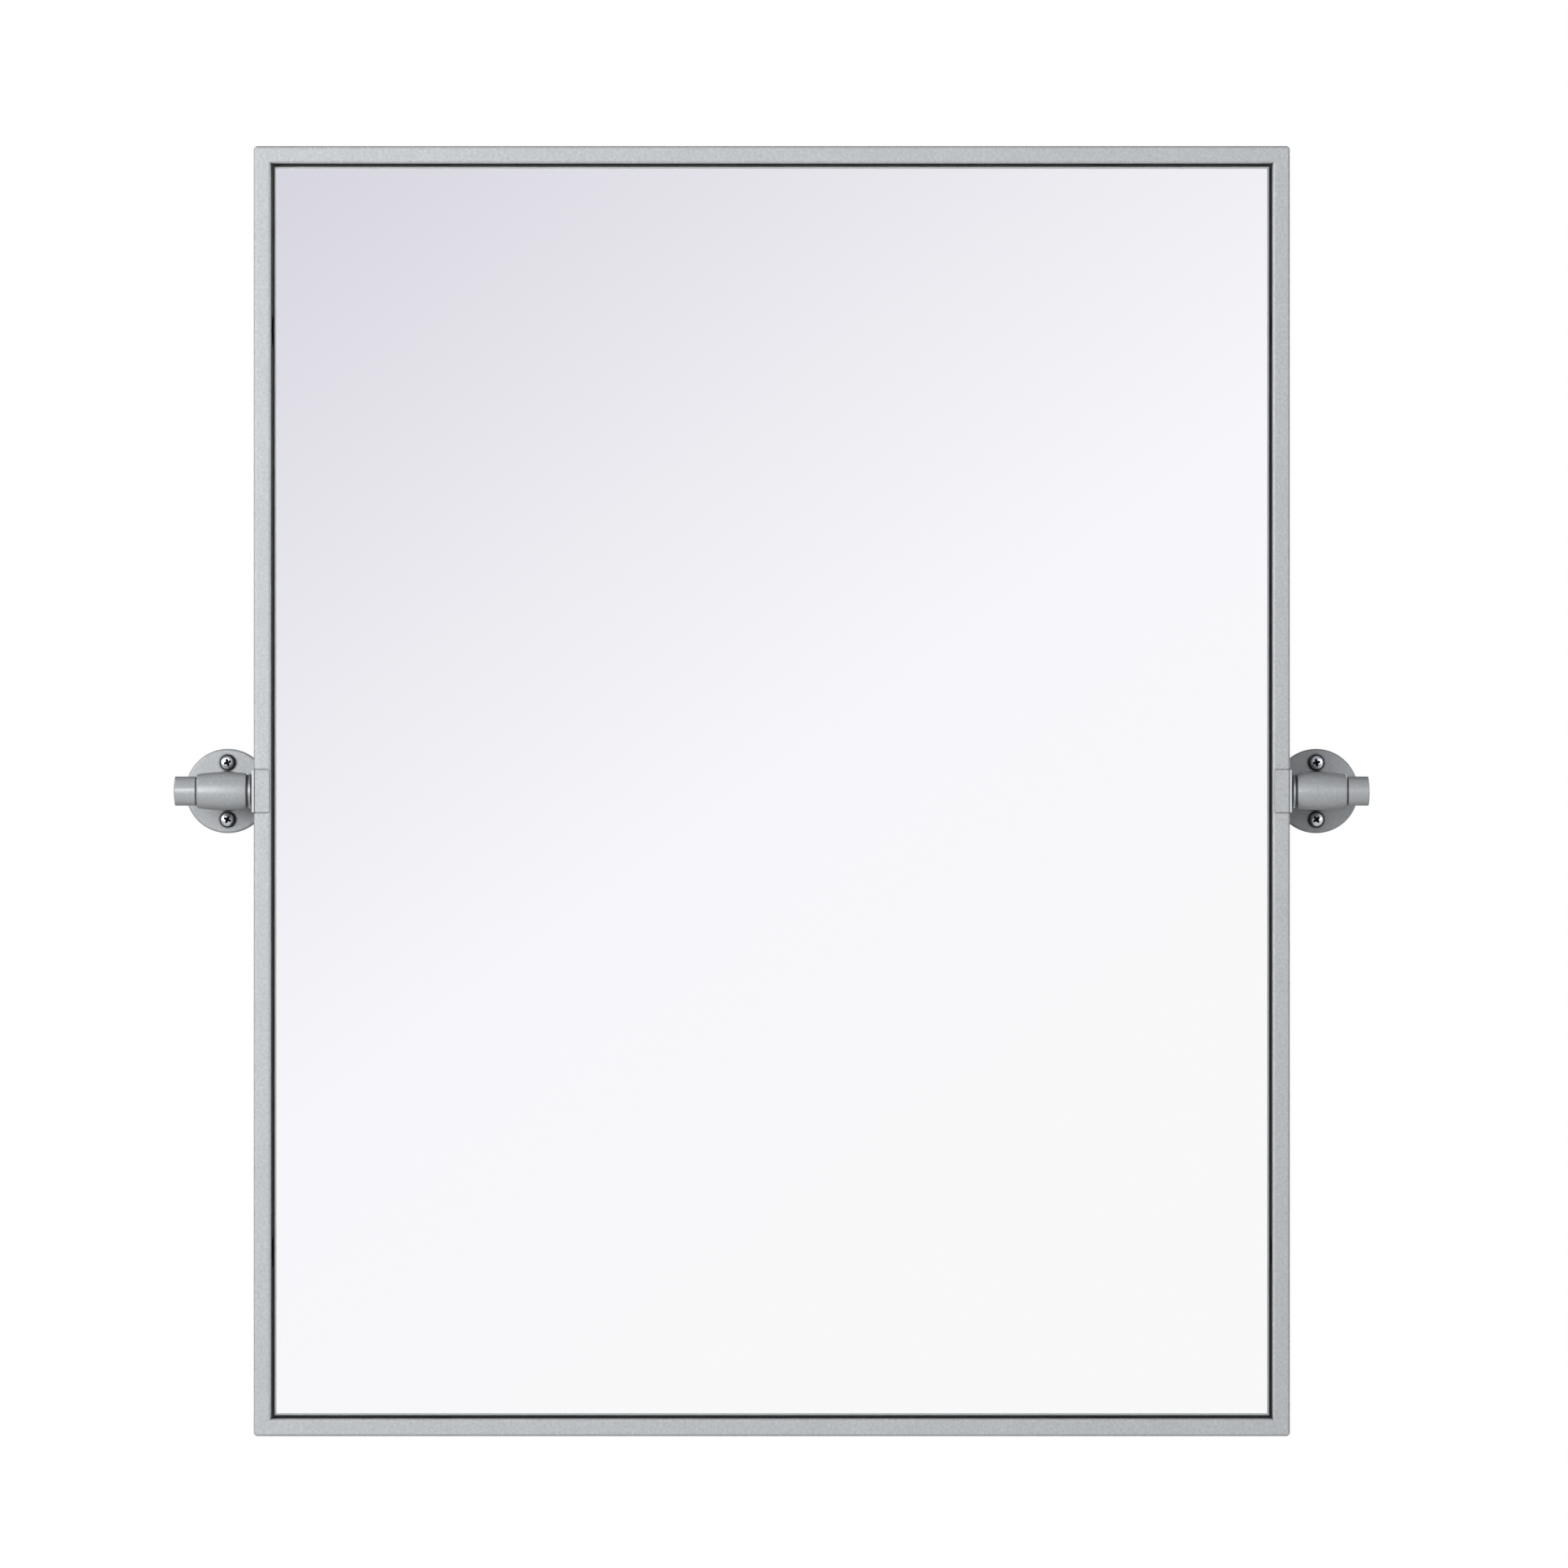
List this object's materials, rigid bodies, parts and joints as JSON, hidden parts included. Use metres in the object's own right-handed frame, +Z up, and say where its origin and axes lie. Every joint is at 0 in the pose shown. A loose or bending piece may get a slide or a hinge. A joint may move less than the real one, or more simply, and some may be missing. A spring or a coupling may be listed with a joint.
{
  "type": "pivot wall mirror",
  "caption": "Rectangular wall mirror in a slim welded tube frame that tilts between two cast wall brackets with tension knobs.",
  "frame": {"origin": "midway between the two rosettes, on the wall plane, at the height of the pivot", "axes": "+Z up, +Y into the wall so that the mirror faces -Y, +X to the right of someone facing the mirror"},
  "size_m": [0.5896, 0.088, 0.635],
  "materials": {
    "frame_paint": "satin silver-grey paint with a fine sparkle",
    "bracket_paint": "satin silver-grey paint with a fine sparkle, on a die casting",
    "mirror_glass": "silvered float glass with ground edges",
    "foam_tape": "closed-cell foam tape",
    "backing_board": "black-painted fibreboard",
    "zinc_steel": "bright zinc-plated steel",
    "bright_washer": "bright steel washer",
    "screw_steel": "bright stainless steel",
    "black_nylon": "matt black nylon"
  },
  "bodies": {
    "wall_brackets": {"wall_bracket_left": "bracket_paint", "wall_bracket_right": "bracket_paint", "inner_bush_left": "black_nylon", "inner_bush_right": "black_nylon", "outer_bush_left": "black_nylon", "outer_bush_right": "black_nylon", "wall_screws_left": "screw_steel", "wall_screws_right": "screw_steel"},
    "mirror": {"frame_rail_top": "frame_paint", "frame_rail_bottom": "frame_paint", "frame_stile_left": "frame_paint", "frame_stile_right": "frame_paint", "mirror_glass": "mirror_glass", "foam_tape_strips": "foam_tape", "backing_board": "backing_board", "offset_clips": "zinc_steel", "rail_screws": "zinc_steel", "board_screws": "zinc_steel", "pivot_block_left": "zinc_steel", "pivot_block_right": "zinc_steel", "saddle_clip_left": "frame_paint", "saddle_clip_right": "frame_paint", "friction_washer_left": "black_nylon", "friction_washer_right": "black_nylon", "steel_washer_left": "bright_washer", "steel_washer_right": "bright_washer"},
    "left_knob": {"knob_left": "bracket_paint", "pivot_stud_left": "zinc_steel"},
    "right_knob": {"knob_right": "bracket_paint", "pivot_stud_right": "zinc_steel"}
  },
  "joints": [
    {"name": "mirror_tilt", "type": "hinge", "parent": "wall_brackets", "child": "mirror", "pos_m": [0, -0.05, 0], "axis": [1, 0, 0], "range_deg": [-6.5, 6.5]},
    {"name": "left_knob_turn", "type": "hinge", "parent": "mirror", "child": "left_knob", "pos_m": [-0.28385, -0.05, 0], "axis": [-1, 0, 0], "range_deg": [0, 180]},
    {"name": "right_knob_turn", "type": "hinge", "parent": "mirror", "child": "right_knob", "pos_m": [0.28385, -0.05, 0], "axis": [1, 0, 0], "range_deg": [0, 180]}
  ]
}
